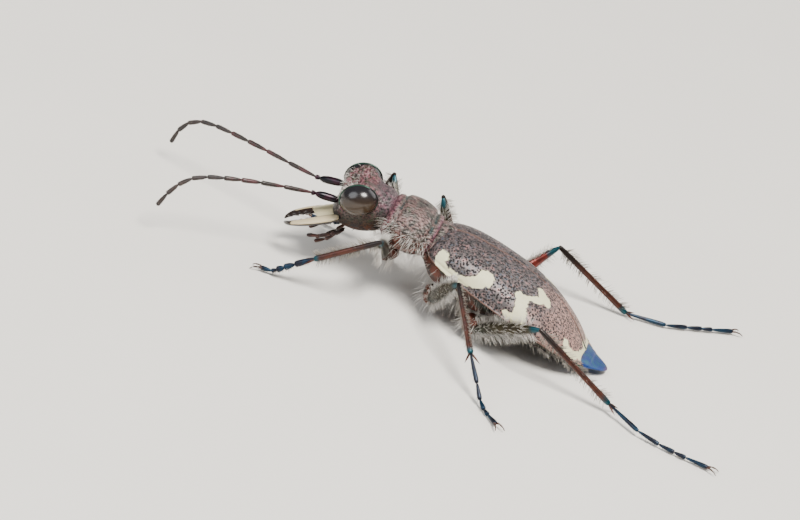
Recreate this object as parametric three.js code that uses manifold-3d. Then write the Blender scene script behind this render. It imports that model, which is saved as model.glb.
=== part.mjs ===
// A tiger beetle as a still, life-size museum model, standing on a level floor.
// Millimetres, +Z up; the head points to -X and the beetle's left side faces -Y.
import * as THREE from "three";
import { mergeVertices } from "three/addons/utils/BufferGeometryUtils.js";
import Module from "manifold-3d";

const wasm = await Module();
wasm.setup();

// Driving dimensions
const GAP = 0.25; // between two nodes that meet
const BODY_PITCH = 12.3; // degrees, nose up
const BODY_ROLL = 8; // degrees, the back leaning to the right side; the hips stay level
const BODY_LIFT = 3.28; // from the floor to the joint between pronotum and elytra
const FORE_TURN = 3; // degrees, the pronotum turned to the left side
const NECK = new THREE.Vector3(-2.79, 0.11, -0.51); // in the stance's frame
// The head's own turn in degrees: to the left side, down from the body's line, and over to the right side.
const HEAD_TURN = 12;
const HEAD_TILT = -32;
const HEAD_ROLL = 8;
const SOLE_HEIGHT = 0.19; // from the floor to the axis of the last foot segment
const FOOT_RADIUS = 0.25;

// Each form is a length along x and, at even steps from its front to its back, the half width,
// the height of its upper side and the height of its lower side.
const HEAD = {
  front: -2.25,
  back: 0.8,
  half: [0.85, 1.08, 1.25, 1.36, 1.33, 1.22, 1.15],
  top: [0.45, 0.9, 1.2, 1.36, 1.32, 1.1, 0.9],
  low: [-0.45, -0.6, -0.76, -0.82, -0.8, -0.75, -0.7],
  blunt: [4, 4],
  square: 2.7,
};
const PROTHORAX = {
  front: -2.5,
  back: -0.1,
  half: [1.28, 1.5, 1.66, 1.68, 1.6, 1.5],
  top: [0.68, 0.86, 0.94, 0.95, 0.88, 0.76],
  low: [-1.15, -1.42, -1.48, -1.42, -1.3, -1.1],
  blunt: [8, 10],
  square: 2.2,
};
const THORAX = {
  front: 0.12,
  back: 3.95,
  half: [1.9, 2.2, 2.35, 2.4, 2.35, 2.3],
  top: [0.3, 0.6, 0.8, 0.9, 0.95, 0.95],
  low: [-1.2, -1.65, -1.8, -1.85, -1.8, -1.7],
  blunt: [6, 8],
  square: 2.3,
};
const ABDOMEN = {
  front: 4.2,
  back: 9.8,
  half: [2.25, 2.35, 2.3, 2.1, 1.75, 1.15],
  top: [0.95, 0.8, 0.4, -0.1, -0.6, -0.85],
  low: [-1.65, -1.7, -1.62, -1.47, -1.3, -1.1],
  blunt: [8, 2.2],
  square: 2.2,
};
const ELYTRA = {
  front: 0.12,
  back: 9.1,
  half: [2.35, 2.58, 2.7, 2.78, 2.8, 2.7, 2.3],
  top: [0.8, 0.98, 1.06, 1.02, 0.74, 0.1, -0.98],
  low: [-0.45, -0.53, -0.62, -0.68, -0.7, -0.78, -1.04],
  blunt: [6.5, 2.8],
  square: [2.7, 2.6, 2.4, 2.1, 1.8, 1.65, 1.65], // flat across in front, roofed behind
};
const ELYTRON_WALL = 0.5;
const SCUTELLUM = { front: 0.2, length: 0.75, half: 0.42, height: 0.66, depth: 0.9 };

const BROW = { height: 0.32, at: 0.43, length: 0.16, turn: 0.55, wide: 0.3 }; // shares of length, radians
const EYE = { x: -0.92, y: 1.4, z: 1.02, long: 0.86, wide: 0.7, tall: 0.73 };
const LABRUM = { rear: -2.5, length: 0.62, half: 0.7, thick: 0.3, z: -0.1, tooth: 0.12 };
const MANDIBLE = {
  base: new THREE.Vector2(-2.1, 0.92),
  bulge: new THREE.Vector2(-4.1, 1.3),
  tip: new THREE.Vector2(-4.5, 0.24),
  rootHalf: 0.32,
  tipHalf: 0.07,
  thick: 0.44,
  tipThick: 0.22,
  teeth: [0.42, 0.58, 0.74],
  tooth: 0.3,
};
// How high each jaw's root and tip lie in the head's frame.
const JAW_HEIGHTS = { left: [-0.12, -0.45], right: [-0.3, -0.4] };

const ANTENNOMERES = [0.85, 0.22, 1.4, 1.15, 0.97, 0.85, 0.8, 0.75, 0.72, 0.7, 0.75];
// The line each feeler follows, in the floor's frame, from its socket to its tip.
const ANTENNA_LINES = {
  left: [
    [-5.05, -0.75, 3.4],
    [-6.06, -1.1, 3.45],
    [-8.41, -2.3, 3.49],
    [-10.66, -3.4, 3.25],
    [-11.6, -3.85, 2.56],
    [-12.11, -4.1, 1.43],
  ],
  right: [
    [-5.25, 0.75, 3.52],
    [-6.43, 1.05, 3.22],
    [-9.32, 1.85, 3.15],
    [-12.08, 2.6, 2.93],
    [-13.17, 3.0, 2.17],
    [-13.54, 3.2, 1.0],
  ],
};
const FEELER_RADIUS = [0.27, 0.25, 0.21]; // scape, middle, tip

// Palps in the head's frame, for the left side: root, bend and tip.
const PALPS = {
  maxillary_palp: { line: [[-1.8, -0.75, -0.75], [-2.6, -0.85, -0.92], [-3.4, -0.55, -0.98]], thick: 0.21 },
  labial_palp: { line: [[-1.8, -0.28, -0.85], [-2.45, -0.3, -1.25], [-3.1, -0.28, -1.38]], thick: 0.2 },
};

const LEG_LENGTHS = {
  front: { femur: 3.0, tibia: 3.25, tarsus: 2.6 },
  middle: { femur: 3.6, tibia: 3.55, tarsus: 3.8 },
  hind: { femur: 4.2, tibia: 4.6, tarsus: 5.45 },
};
// Where each leg's thigh starts, in the body's frame on the left side.
const HIPS = { front: [-1.6, -1.0, -1.9], middle: [1.2, -1.5, -2.3], hind: [3.4, -2.2, -2.1] };
// Heading (degrees round from +X) and rise (degrees above level) of thigh and shin, heading of foot.
const LEG_POSES = {
  front_left: { femur: [-91, 37], tibia: [-176, -37], foot: 179 },
  middle_left: { femur: [-60, 44], tibia: [-55, -29], foot: -49 },
  hind_left: { femur: [-25, 31], tibia: [0, -28], foot: -16 },
  front_right: { femur: [130, 55], tibia: [149, -75], foot: 169 },
  middle_right: { femur: [141, 62], tibia: [39, -58], foot: 43 },
  hind_right: { femur: [54.5, 28.5], tibia: [12, -30], foot: 27 },
};
const COXA = { radius: 0.46, reach: 0.75 };
const FEMUR_RADII = { front: [0.24, 0.34, 0.36, 0.32, 0.27, 0.26], hind: [0.24, 0.3, 0.34, 0.32, 0.28, 0.26] };
const TIBIA_RADII = [0.25, 0.25, 0.25, 0.26, 0.28];
const FOOT_SHARES = [0.36, 0.2, 0.14, 0.1, 0.2];
// How far along the foot it lies down on the floor, and how far it bends sideways, to the left side, before that.
const FOOT_CURVES = {
  front: { heel: 0.8, bow: 0 },
  middle: { heel: 0.6, bow: 0 },
  hind: { heel: 0.6, bow: 0.55 },
};
const CLAW = { length: 0.62, spread: 32, radius: 0.11 };
const SPUR = { length: 0.5, spread: 42, radii: [0.12, 0.1, 0.04], clearance: 0.15 };

// Colours
const SHELL_PURPLE = new THREE.MeshStandardMaterial({ color: 0x6b4a5c, roughness: 0.38, metalness: 0.6 });
const ELYTRON_BROWN = new THREE.MeshStandardMaterial({ color: 0x4a3a3e, roughness: 0.5, metalness: 0.45 });
const FLANK_COPPER = new THREE.MeshStandardMaterial({ color: 0x7d3a2c, roughness: 0.35, metalness: 0.7 });
const BELLY_BLUE = new THREE.MeshStandardMaterial({ color: 0x1f4f6e, roughness: 0.32, metalness: 0.7 });
const EYE_GREY = new THREE.MeshStandardMaterial({ color: 0x3a342f, roughness: 0.25, metalness: 0 });
const IVORY = new THREE.MeshStandardMaterial({ color: 0xe3dcb4, roughness: 0.4, metalness: 0 });
const JAW_BLACK = new THREE.MeshStandardMaterial({ color: 0x2b1d1a, roughness: 0.3, metalness: 0.2 });
const THIGH_GREEN = new THREE.MeshStandardMaterial({ color: 0x3a4a30, roughness: 0.35, metalness: 0.7 });
const SHIN_BROWN = new THREE.MeshStandardMaterial({ color: 0x4d2c22, roughness: 0.4, metalness: 0.5 });
const FOOT_TEAL = new THREE.MeshStandardMaterial({ color: 0x24505a, roughness: 0.35, metalness: 0.7 });
const FEELER_BROWN = new THREE.MeshStandardMaterial({ color: 0x54443c, roughness: 0.6, metalness: 0.1 });

const radians = THREE.MathUtils.degToRad;
const floorPoint = (values) => new THREE.Vector3(...values);

// The value at share s of a form's length, from values given at even steps.
function along(values, s) {
  const curve = new THREE.SplineCurve(values.map((v, i) => new THREE.Vector2(i, v)));
  return curve.getPoint(THREE.MathUtils.clamp(s, 0, 1)).y;
}

// How full a form is at share s: 1 in the middle, 0 at its ends, rounder with a lower power.
function fullness(s, [front, back]) {
  const power = s < 0.5 ? front : back;
  return (1 - Math.abs(2 * s - 1) ** power) ** (1 / power);
}

// A closed form with its ends on the x axis; place(s, turn) gives the point at share s of its length
// and at angle turn round it, counted from +Y toward +Z.
function formed(rings, around, place) {
  const geometry = new THREE.SphereGeometry(1, around, rings);
  const points = geometry.attributes.position;
  for (let i = 0; i < points.count; i += 1) {
    const s = (1 - THREE.MathUtils.clamp(points.getY(i), -1, 1)) / 2;
    const spin = Math.atan2(points.getZ(i), points.getX(i));
    points.setXYZ(i, ...place(s, spin));
  }
  return geometry;
}

// A form from its driving dimensions, made larger by `grow` all round; `relief(s, turn)` raises its surface.
function bodyForm(form, rings, around, grow = 0, relief = () => 0) {
  return formed(rings, around, (s, turn) => {
    const full = fullness(s, form.blunt);
    const lift = grow + relief(s, turn);
    const half = (along(form.half, s) + lift) * full;
    const top = along(form.top, s) + lift;
    const low = along(form.low, s) - lift;
    const middle = (top + low) / 2;
    const tall = ((top - low) / 2) * full;
    const c = Math.cos(turn);
    const d = Math.sin(turn);
    const power = 2 / form.square;
    return [
      form.front - grow + (form.back - form.front + 2 * grow) * s,
      half * Math.sign(c) * Math.abs(c) ** power,
      middle + tall * Math.sign(d) * Math.abs(d) ** power,
    ];
  });
}

// The dome of both wing cases, `grow` outside their skin, reaching `deep` below their margin.
function elytraDome(grow, deep) {
  return formed(18, 26, (s, turn) => {
    const full = fullness(s, ELYTRA.blunt);
    const margin = along(ELYTRA.low, s);
    const rise = (along(ELYTRA.top, s) - margin + grow) * full;
    const c = Math.cos(turn);
    const d = Math.sin(turn);
    const power = 2 / along(ELYTRA.square, s);
    return [
      ELYTRA.front - grow + (ELYTRA.back - ELYTRA.front + 2 * grow) * s,
      (along(ELYTRA.half, s) + grow) * full * Math.sign(c) * Math.abs(c) ** power,
      margin + (d > 0 ? rise * d ** power : -deep * full * Math.abs(d) ** power),
    ];
  });
}

// A round limb along +X from 0 to length, with its radius at even steps and rounded ends.
function limb(length, radii, { grow = 0, around = 10, rings = 8, blunt = 5 } = {}) {
  return formed(rings, around, (s, turn) => {
    const radius = (along(radii, s) + grow) * fullness(s, [blunt, blunt]);
    return [-grow + (length + 2 * grow) * s, radius * Math.cos(turn), radius * Math.sin(turn)];
  });
}

// The matrix that sets a limb's +X from one point toward another, its +Z as near up as it goes.
function aimed(from, to) {
  const x = to.clone().sub(from).normalize();
  const y = new THREE.Vector3(0, 0, 1).cross(x).normalize();
  const z = x.clone().cross(y);
  return new THREE.Matrix4().makeBasis(x, y, z).setPosition(from);
}

function solidOf(geometry, matrix = new THREE.Matrix4()) {
  const bare = new THREE.BufferGeometry();
  const loose = geometry.index ? geometry.toNonIndexed() : geometry;
  bare.setAttribute("position", loose.attributes.position.clone());
  bare.applyMatrix4(matrix);
  const merged = mergeVertices(bare, 1e-4);
  return new wasm.Manifold(
    new wasm.Mesh({
      numProp: 3,
      vertProperties: merged.attributes.position.array,
      triVerts: new Uint32Array(merged.index.array),
    }),
  );
}

// The geometry of a solid's largest closed body.
function geometryOf(solid) {
  const bodies = solid.decompose();
  const largest = bodies.reduce((a, b) => (a.volume() > b.volume() ? a : b));
  const mesh = largest.getMesh();
  const geometry = new THREE.BufferGeometry();
  geometry.setAttribute("position", new THREE.BufferAttribute(new Float32Array(mesh.vertProperties), 3));
  geometry.setIndex(new THREE.BufferAttribute(new Uint32Array(mesh.triVerts), 1));
  geometry.computeVertexNormals();
  return geometry;
}

const joined = (solids) => solids.reduce((whole, piece) => whole.add(piece));
const cut = (solid, tools) => tools.reduce((left, tool) => left.subtract(tool), solid);

function boxSolid(x, y, z, centre) {
  return solidOf(new THREE.BoxGeometry(x, y, z), new THREE.Matrix4().makeTranslation(centre));
}

const beetle = new THREE.Group();
const stance = new THREE.Group(); // pitched and lifted, holds the head and the legs
stance.rotation.y = radians(BODY_PITCH);
stance.position.z = BODY_LIFT;
const body = new THREE.Group();
body.rotation.x = -radians(BODY_ROLL);
const fore = new THREE.Group(); // the pronotum's own turn
fore.rotation.z = radians(FORE_TURN);
body.add(fore);
const head = new THREE.Group();
head.rotation.set(-radians(HEAD_ROLL), radians(HEAD_TILT), radians(HEAD_TURN), "ZYX");
head.position.copy(NECK);
stance.add(head, body);
beetle.add(stance);
beetle.updateMatrixWorld(true);
const bodyInverse = body.matrix.clone().invert();
const foreInBody = fore.matrix.clone();
const bodyInFore = fore.matrix.clone().invert();

function addNode(group, name, solid, material, matrix) {
  const mesh = new THREE.Mesh(geometryOf(solid), material);
  mesh.name = name;
  if (matrix) mesh.applyMatrix4(matrix);
  group.add(mesh);
}

// A row of short segments from point to point of a curve, each rooted a little in the last.
function beads(points, radii, sink, wider = 1, around = 7, rings = 4) {
  return points.slice(1).map((end, i) => {
    const start = i === 0 ? points[0] : points[i].clone().lerp(points[i - 1], sink);
    const length = start.distanceTo(end);
    const taper = [radii[i] * 0.86, radii[i] * wider, radii[i]];
    return solidOf(limb(length, taper, { around, rings, blunt: 4 }), aimed(start, end));
  });
}

// Legs: coxa, femur and tibia hang from the body; the foot stands on the floor.
const SIDES = { left: 1, right: -1 };
const HIP_ROOMS = { front: [], middle: [], hind: [] };

function heading(length, [round, rise]) {
  const level = Math.cos(radians(rise)) * length;
  return new THREE.Vector3(
    level * Math.cos(radians(round)),
    level * Math.sin(radians(round)),
    Math.sin(radians(rise)) * length,
  );
}

function buildLeg(pair, side) {
  const sizes = LEG_LENGTHS[pair];
  const pose = LEG_POSES[`${pair}_${side}`];
  const name = `${pair}_${side}`;
  const hip = new THREE.Vector3(HIPS[pair][0], HIPS[pair][1] * SIDES[side], HIPS[pair][2]);
  const base = stance.localToWorld(hip.clone());
  const knee = base.clone().add(heading(sizes.femur, pose.femur));
  const ankle = knee.clone().add(heading(sizes.tibia, pose.tibia));
  const drop = THREE.MathUtils.radToDeg(Math.asin((SOLE_HEIGHT - ankle.z) / sizes.tarsus));
  const toe = ankle.clone().add(heading(sizes.tarsus, [pose.foot, drop]));
  const [hipIn, kneeIn, ankleIn] = [hip, stance.worldToLocal(knee.clone()), stance.worldToLocal(ankle.clone())];

  const root = hipIn.clone().add(new THREE.Vector3(0.12, 0.3 * SIDES[side], COXA.reach));
  const thighRadii = pair === "hind" ? FEMUR_RADII.hind : FEMUR_RADII.front;
  const coxaFrame = aimed(root, hipIn);
  const femurFrame = aimed(hipIn, kneeIn);
  const tibiaFrame = aimed(kneeIn, ankleIn);
  const coxaLength = root.distanceTo(hipIn) + 0.2;
  const coxaRadii = [COXA.radius, COXA.radius, COXA.radius * 0.8];
  const shape = { blunt: 3, rings: 8 };
  const grownCoxa = solidOf(limb(coxaLength, coxaRadii, { ...shape, grow: GAP }), coxaFrame);
  const grownFemur = solidOf(limb(sizes.femur, thighRadii, { grow: GAP }), femurFrame);
  HIP_ROOMS[pair].push(grownCoxa.transform(bodyInverse.elements), grownFemur.transform(bodyInverse.elements));
  const grownTibia = solidOf(limb(sizes.tibia, TIBIA_RADII, { grow: GAP }), tibiaFrame);
  addNode(stance, `coxa_${name}`, cut(solidOf(limb(coxaLength, coxaRadii, shape), coxaFrame), [grownFemur]), FLANK_COPPER);
  addNode(stance, `femur_${name}`, cut(solidOf(limb(sizes.femur, thighRadii), femurFrame), [grownTibia]), THIGH_GREEN);

  const shinWay = ankle.clone().sub(knee).normalize();
  const across = new THREE.Vector3(0, 0, 1).cross(shinWay).normalize();
  const spurs = [-1, 1].map((way) => {
    const tip = ankle.clone().addScaledVector(shinWay, SPUR.length);
    tip.addScaledVector(across, way * SPUR.length * Math.tan(radians(SPUR.spread)));
    tip.z = Math.max(tip.z, SPUR.clearance);
    const seat = stance.worldToLocal(ankle.clone().addScaledVector(shinWay, -0.2));
    const spike = limb(seat.distanceTo(stance.worldToLocal(tip.clone())), SPUR.radii, { around: 6, rings: 4 });
    return solidOf(spike, aimed(seat, stance.worldToLocal(tip)));
  });
  const shin = solidOf(limb(sizes.tibia, TIBIA_RADII), tibiaFrame);
  const footGap = ankle.clone().add(toe.clone().sub(ankle).setLength(GAP));
  const foot = footSolid(footGap, toe, pair);
  const footRoom = solidOf(limb(1.0, [FOOT_RADIUS, FOOT_RADIUS], { grow: GAP }), aimed(footGap, toe));
  const spursOnly = cut(joined(spurs), [footRoom.transform(stance.matrixWorld.clone().invert().elements)]);
  addNode(stance, `tibia_${name}`, joined([shin, spursOnly]), SHIN_BROWN);
  addNode(beetle, `tarsus_${name}`, foot, FOOT_TEAL);
}

// Five foot segments and two claws, cut level where they rest on the floor.
function footSolid(start, toe, pair) {
  const { heel, bow } = FOOT_CURVES[pair];
  const rest = start.clone().lerp(toe, heel).setZ(toe.z);
  const bend = start.clone().lerp(rest, 0.5);
  rest.y -= bow * 0.7;
  bend.y -= bow;
  const line = new THREE.CatmullRomCurve3([start, bend, rest, toe]);
  let share = 0;
  const points = [start];
  for (const part of FOOT_SHARES) {
    share += part;
    points.push(line.getPointAt(Math.min(share, 1)));
  }
  const male = pair === "front" ? [1, 1.15, 1.15, 1.1, 1] : [1, 1, 1, 1, 1];
  const pieces = beads(points, male.map((wide) => FOOT_RADIUS * wide), 0.25);
  const last = aimed(points[4], toe);
  for (const way of [-1, 1]) {
    const claw = new THREE.QuadraticBezierCurve3(
      new THREE.Vector3(0, 0, 0),
      new THREE.Vector3(CLAW.length * 0.7, way * 0.1, 0.12),
      new THREE.Vector3(CLAW.length, way * CLAW.length * Math.sin(radians(CLAW.spread)), -0.08),
    );
    const from = last.clone().multiply(new THREE.Matrix4().makeTranslation(points[4].distanceTo(toe) - 0.15, way * 0.06, 0));
    const stops = [0, 0.5, 1].map((s) => claw.getPoint(s).applyMatrix4(from));
    pieces.push(...beads(stops, [CLAW.radius, CLAW.radius * 0.7], 0.3, 1, 5, 3));
  }
  return cut(joined(pieces), [boxSolid(60, 60, 2, new THREE.Vector3(0, 0, -1))]);
}

for (const pair of Object.keys(HIPS)) {
  for (const side of Object.keys(SIDES)) buildLeg(pair, side);
}

// Trunk: prothorax, thorax with its scutellum, abdomen and the two wing cases.
const bump = (value, centre, width) => Math.exp(-(((value - centre) / width) ** 2));
const pronotumFurrows = (s) => -0.09 * bump(s, 0.17, 0.05) - 0.09 * bump(s, 0.86, 0.05);
const SEGMENTS = 6;
const bellyFurrows = (s) => -0.07 * Math.max(0, Math.cos(2 * Math.PI * s * SEGMENTS)) ** 6;

const foreRooms = HIP_ROOMS.front.map((room) => room.transform(bodyInFore.elements));
const prothorax = cut(solidOf(bodyForm(PROTHORAX, 20, 22, 0, pronotumFurrows)), foreRooms);
addNode(fore, "prothorax", prothorax, SHELL_PURPLE);

function scutellumSolid(grow) {
  const shape = new THREE.Shape();
  shape.moveTo(SCUTELLUM.front - grow, -SCUTELLUM.half - grow);
  shape.lineTo(SCUTELLUM.front + SCUTELLUM.length + 2 * grow, 0);
  shape.lineTo(SCUTELLUM.front - grow, SCUTELLUM.half + grow);
  const depth = SCUTELLUM.depth + 2 * grow;
  const prism = new THREE.ExtrudeGeometry(shape, { depth, bevelEnabled: false });
  return solidOf(prism, new THREE.Matrix4().makeTranslation(0, 0, SCUTELLUM.height + grow - depth));
}

const shellRoom = solidOf(elytraDome(GAP, GAP)).subtract(solidOf(elytraDome(-ELYTRON_WALL - GAP, 4)));
const elytraShell = solidOf(elytraDome(0, 0.1)).subtract(solidOf(elytraDome(-ELYTRON_WALL, 4)));
const thoraxCore = cut(solidOf(bodyForm(THORAX, 12, 24)), [shellRoom, ...HIP_ROOMS.middle, ...HIP_ROOMS.hind]);
addNode(body, "thorax", thoraxCore.add(scutellumSolid(0)), FLANK_COPPER);
const abdomen = cut(solidOf(bodyForm(ABDOMEN, 25, 20, 0, bellyFurrows)), [shellRoom, ...HIP_ROOMS.hind]);
addNode(body, "abdomen", abdomen, BELLY_BLUE);
for (const [side, sign] of Object.entries(SIDES)) {
  const wide = 5;
  const half = boxSolid(20, wide, 10, new THREE.Vector3(5, -sign * (wide / 2 + GAP / 2), 0));
  addNode(body, `elytron_${side}`, elytraShell.intersect(half).subtract(scutellumSolid(GAP)), ELYTRON_BROWN);
}

// Feelers: scape with pedicel, then two lengths of the whip, on one line through named points.
const foreInHead = head.matrix.clone().invert().multiply(body.matrix).multiply(foreInBody);
const headCuts = [solidOf(bodyForm(PROTHORAX, 18, 24, GAP), foreInHead)];

function buildFeeler(side) {
  const points = ANTENNA_LINES[side].map((values) => head.worldToLocal(floorPoint(values)));
  const line = new THREE.CatmullRomCurve3(points);
  const whole = ANTENNOMERES.reduce((sum, part) => sum + part);
  let done = 0;
  const stops = [line.getPointAt(0)];
  for (const part of ANTENNOMERES) {
    done += part;
    stops.push(line.getPointAt(Math.min(done / whole, 1)));
  }
  const radii = ANTENNOMERES.map((_, i) => (i === 0 ? FEELER_RADIUS[0] : i < 6 ? FEELER_RADIUS[1] : FEELER_RADIUS[2]));
  const lengths = { scape: [0, 2], flagellum_inner: [2, 6], flagellum_outer: [6, 11] };
  for (const [name, [first, last]] of Object.entries(lengths)) {
    const run = stops.slice(first, last + 1);
    if (first > 0) run[0] = run[0].clone().add(run[1].clone().sub(run[0]).setLength(GAP));
    addNode(head, `${name}_${side}`, joined(beads(run, radii.slice(first, last), 0.12)), FEELER_BROWN);
  }
  headCuts.push(solidOf(limb(ANTENNOMERES[0], [FEELER_RADIUS[0], FEELER_RADIUS[0]], { grow: GAP }), aimed(stops[0], stops[1])));
}
buildFeeler("left");
buildFeeler("right");

// Mouthparts
function sickle() {
  const { base, bulge, tip, rootHalf, tipHalf, teeth, tooth } = MANDIBLE;
  const line = new THREE.QuadraticBezierCurve(base, bulge, tip);
  const steps = 16;
  const outer = [];
  const inner = [];
  for (let i = 0; i <= steps; i += 1) {
    const s = i / steps;
    const centre = line.getPoint(s);
    const ahead = line.getTangent(s);
    const across = new THREE.Vector2(-ahead.y, ahead.x);
    const half = THREE.MathUtils.lerp(rootHalf, tipHalf, s);
    const bite = teeth.reduce((sum, at) => sum + tooth * Math.max(0, 1 - Math.abs(s - at) * 13), 0);
    outer.push(centre.clone().addScaledVector(across, -half));
    inner.push(centre.clone().addScaledVector(across, half + bite));
  }
  return new THREE.Shape([...outer, ...inner.reverse()]);
}

function buildJaw(side) {
  const [rootZ, tipZ] = JAW_HEIGHTS[side];
  const plate = new THREE.ExtrudeGeometry(sickle(), {
    depth: MANDIBLE.thick - 0.12,
    bevelThickness: 0.06,
    bevelSize: 0.05,
    bevelOffset: -0.05,
    bevelSegments: 1,
  });
  const points = plate.attributes.position;
  for (let i = 0; i < points.count; i += 1) {
    const s = (points.getX(i) - MANDIBLE.base.x) / (MANDIBLE.tip.x - MANDIBLE.base.x);
    const thin = THREE.MathUtils.lerp(1, MANDIBLE.tipThick / MANDIBLE.thick, THREE.MathUtils.clamp(s, 0, 1));
    const z = (points.getZ(i) - MANDIBLE.thick / 2 + 0.06) * thin + THREE.MathUtils.lerp(rootZ, tipZ, s);
    points.setZ(i, z);
  }
  let solid = solidOf(plate);
  if (side === "left") solid = solid.mirror([0, 1, 0]);
  addNode(head, `mandible_${side}`, solid, JAW_BLACK);
  const room = boxSolid(1.2, 1.3, MANDIBLE.thick + 2 * GAP, new THREE.Vector3(-2.15, -SIDES[side] * 0.95, rootZ));
  headCuts.push(room);
}
buildJaw("left");
buildJaw("right");

function buildLabrum() {
  const { rear, length, half, thick, z, tooth } = LABRUM;
  const front = rear - length;
  const shape = new THREE.Shape();
  shape.moveTo(rear, -half);
  shape.lineTo(rear, half);
  shape.quadraticCurveTo(front + 0.1, half, front, half * 0.45);
  for (const at of [0.3, 0, -0.3]) {
    shape.lineTo(front - tooth, at * half);
    if (at > -0.3) shape.lineTo(front, (at - 0.15) * half);
  }
  shape.lineTo(front, -half * 0.45);
  shape.quadraticCurveTo(front + 0.1, -half, rear, -half);
  const plate = new THREE.ExtrudeGeometry(shape, { depth: thick, bevelEnabled: false, curveSegments: 5 });
  addNode(head, "labrum", solidOf(plate, new THREE.Matrix4().makeTranslation(0, 0, z)), IVORY);
}
buildLabrum();

for (const [name, palp] of Object.entries(PALPS)) {
  for (const [side, sign] of Object.entries(SIDES)) {
    const stops = palp.line.map(([x, y, z]) => new THREE.Vector3(x, y * sign, z));
    const radii = [palp.thick, palp.thick];
    addNode(head, `${name}_${side}`, joined(beads(stops, radii, 0.15, 1.1)), SHIN_BROWN);
    headCuts.push(solidOf(limb(stops[0].distanceTo(stops[1]), radii, { grow: GAP }), aimed(stops[0], stops[1])));
  }
}

// Eyes and head
function eyeSolid(sign, grow) {
  const ball = new THREE.SphereGeometry(1, 18, 12);
  const matrix = new THREE.Matrix4().makeTranslation(EYE.x, -EYE.y * sign, EYE.z);
  matrix.scale(new THREE.Vector3(EYE.long + grow, EYE.wide + grow, EYE.tall + grow));
  return solidOf(ball, matrix);
}
for (const [side, sign] of Object.entries(SIDES)) {
  addNode(head, `eye_${side}`, eyeSolid(sign, 0), EYE_GREY);
  headCuts.push(eyeSolid(sign, GAP));
}
// A brow stands up along the inner edge of each eye.
const brows = (s, turn) => BROW.height * bump(s, BROW.at, BROW.length) * bump(Math.abs(turn - Math.PI / 2), BROW.turn, BROW.wide);
addNode(head, "head", cut(solidOf(bodyForm(HEAD, 18, 26, 0, brows)), headCuts), SHELL_PURPLE);

// The whole model's origin is the middle of its footprint on the floor.
beetle.updateMatrixWorld(true);
const bounds = new THREE.Box3().setFromObject(beetle, true);
const model = new THREE.Group();
beetle.position.set(-(bounds.min.x + bounds.max.x) / 2, -(bounds.min.y + bounds.max.y) / 2, -bounds.min.z);
model.add(beetle);

export default model;
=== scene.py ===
import math
import random

import bpy
from mathutils import Matrix, Vector


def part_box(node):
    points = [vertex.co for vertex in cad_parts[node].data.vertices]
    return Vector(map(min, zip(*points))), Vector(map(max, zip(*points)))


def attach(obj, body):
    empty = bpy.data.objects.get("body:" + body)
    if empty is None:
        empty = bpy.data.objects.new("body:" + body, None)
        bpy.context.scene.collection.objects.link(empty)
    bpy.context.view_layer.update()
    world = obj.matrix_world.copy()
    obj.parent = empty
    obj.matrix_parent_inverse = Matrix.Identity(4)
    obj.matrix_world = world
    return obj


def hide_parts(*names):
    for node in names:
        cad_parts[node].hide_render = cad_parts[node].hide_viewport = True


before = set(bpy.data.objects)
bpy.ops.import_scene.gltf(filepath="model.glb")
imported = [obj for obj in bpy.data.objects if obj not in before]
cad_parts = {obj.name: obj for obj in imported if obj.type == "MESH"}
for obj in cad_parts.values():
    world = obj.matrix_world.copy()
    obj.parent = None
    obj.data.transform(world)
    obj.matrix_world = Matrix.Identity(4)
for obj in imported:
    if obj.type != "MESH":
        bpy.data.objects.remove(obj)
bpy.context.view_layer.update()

# A tiger beetle as a life-size museum model. Sizes are in millimetres until a point is placed; the head
# points to -X and the left side faces -Y.

# Driving dimensions
MM = 0.001
BODY_PITCH = 12.3
BODY_ROLL = 8.0
BODY_LIFT = 3.28
FORE_TURN = 3.0
NECK = (-2.79, 0.11, -0.51)
HEAD_TURN = 12.0
HEAD_TILT = -32.0
HEAD_ROLL = 8.0

HEAD = dict(
    front=-2.25, back=0.8, square=2.7, blunt=(4, 4),
    half=[0.85, 1.08, 1.25, 1.36, 1.33, 1.22, 1.15],
    top=[0.45, 0.9, 1.2, 1.36, 1.32, 1.1, 0.9],
    low=[-0.45, -0.6, -0.76, -0.82, -0.8, -0.75, -0.7],
)
PROTHORAX = dict(
    front=-2.5, back=-0.1, square=2.2, blunt=(8, 10),
    half=[1.28, 1.5, 1.66, 1.68, 1.6, 1.5],
    top=[0.68, 0.86, 0.94, 0.95, 0.88, 0.76],
    low=[-1.15, -1.42, -1.48, -1.42, -1.3, -1.1],
)
THORAX = dict(
    front=-0.2, back=4.2, square=2.3, blunt=(6, 8),
    half=[1.3, 1.95, 2.2, 2.3, 2.3, 2.25],
    top=[0.2, 0.6, 0.72, 0.8, 0.85, 0.85],
    low=[-1.2, -1.65, -1.8, -1.85, -1.8, -1.7],
)
ABDOMEN = dict(
    front=3.9, back=9.8, square=2.2, blunt=(8, 2.2),
    half=[2.25, 2.3, 2.25, 2.05, 1.7, 1.15],
    top=[0.8, 0.7, 0.3, -0.2, -0.7, -0.85],
    low=[-1.65, -1.7, -1.62, -1.47, -1.3, -1.1],
)
SCUTELLUM = dict(long=0.8, half=0.4, z=0.72, thick=0.1)
COLLAR = dict(front=-0.35, long=0.75, half=1.15, widening=0.5, z=-0.25, tall=0.95)
ELYTRON_GRID = (260, 120)
ELYTRON_WALL = 0.12
PIT = 0.11
ELYTRA = dict(
    front=0.0, back=9.1, blunt=(6.5, 2.8),
    square=[2.7, 2.6, 2.4, 2.1, 1.8, 1.65, 1.65],
    half=[2.35, 2.58, 2.7, 2.78, 2.8, 2.7, 2.3],
    top=[0.8, 0.98, 1.06, 1.02, 0.74, 0.1, -0.98],
    low=[-0.45, -0.53, -0.62, -0.68, -0.7, -0.78, -1.04],
)
EYE = dict(x=-0.92, y=1.4, z=1.02, long=0.86, wide=0.7, tall=0.73)
EYE_RIM = dict(thick=0.05, out=0.03)
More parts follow.
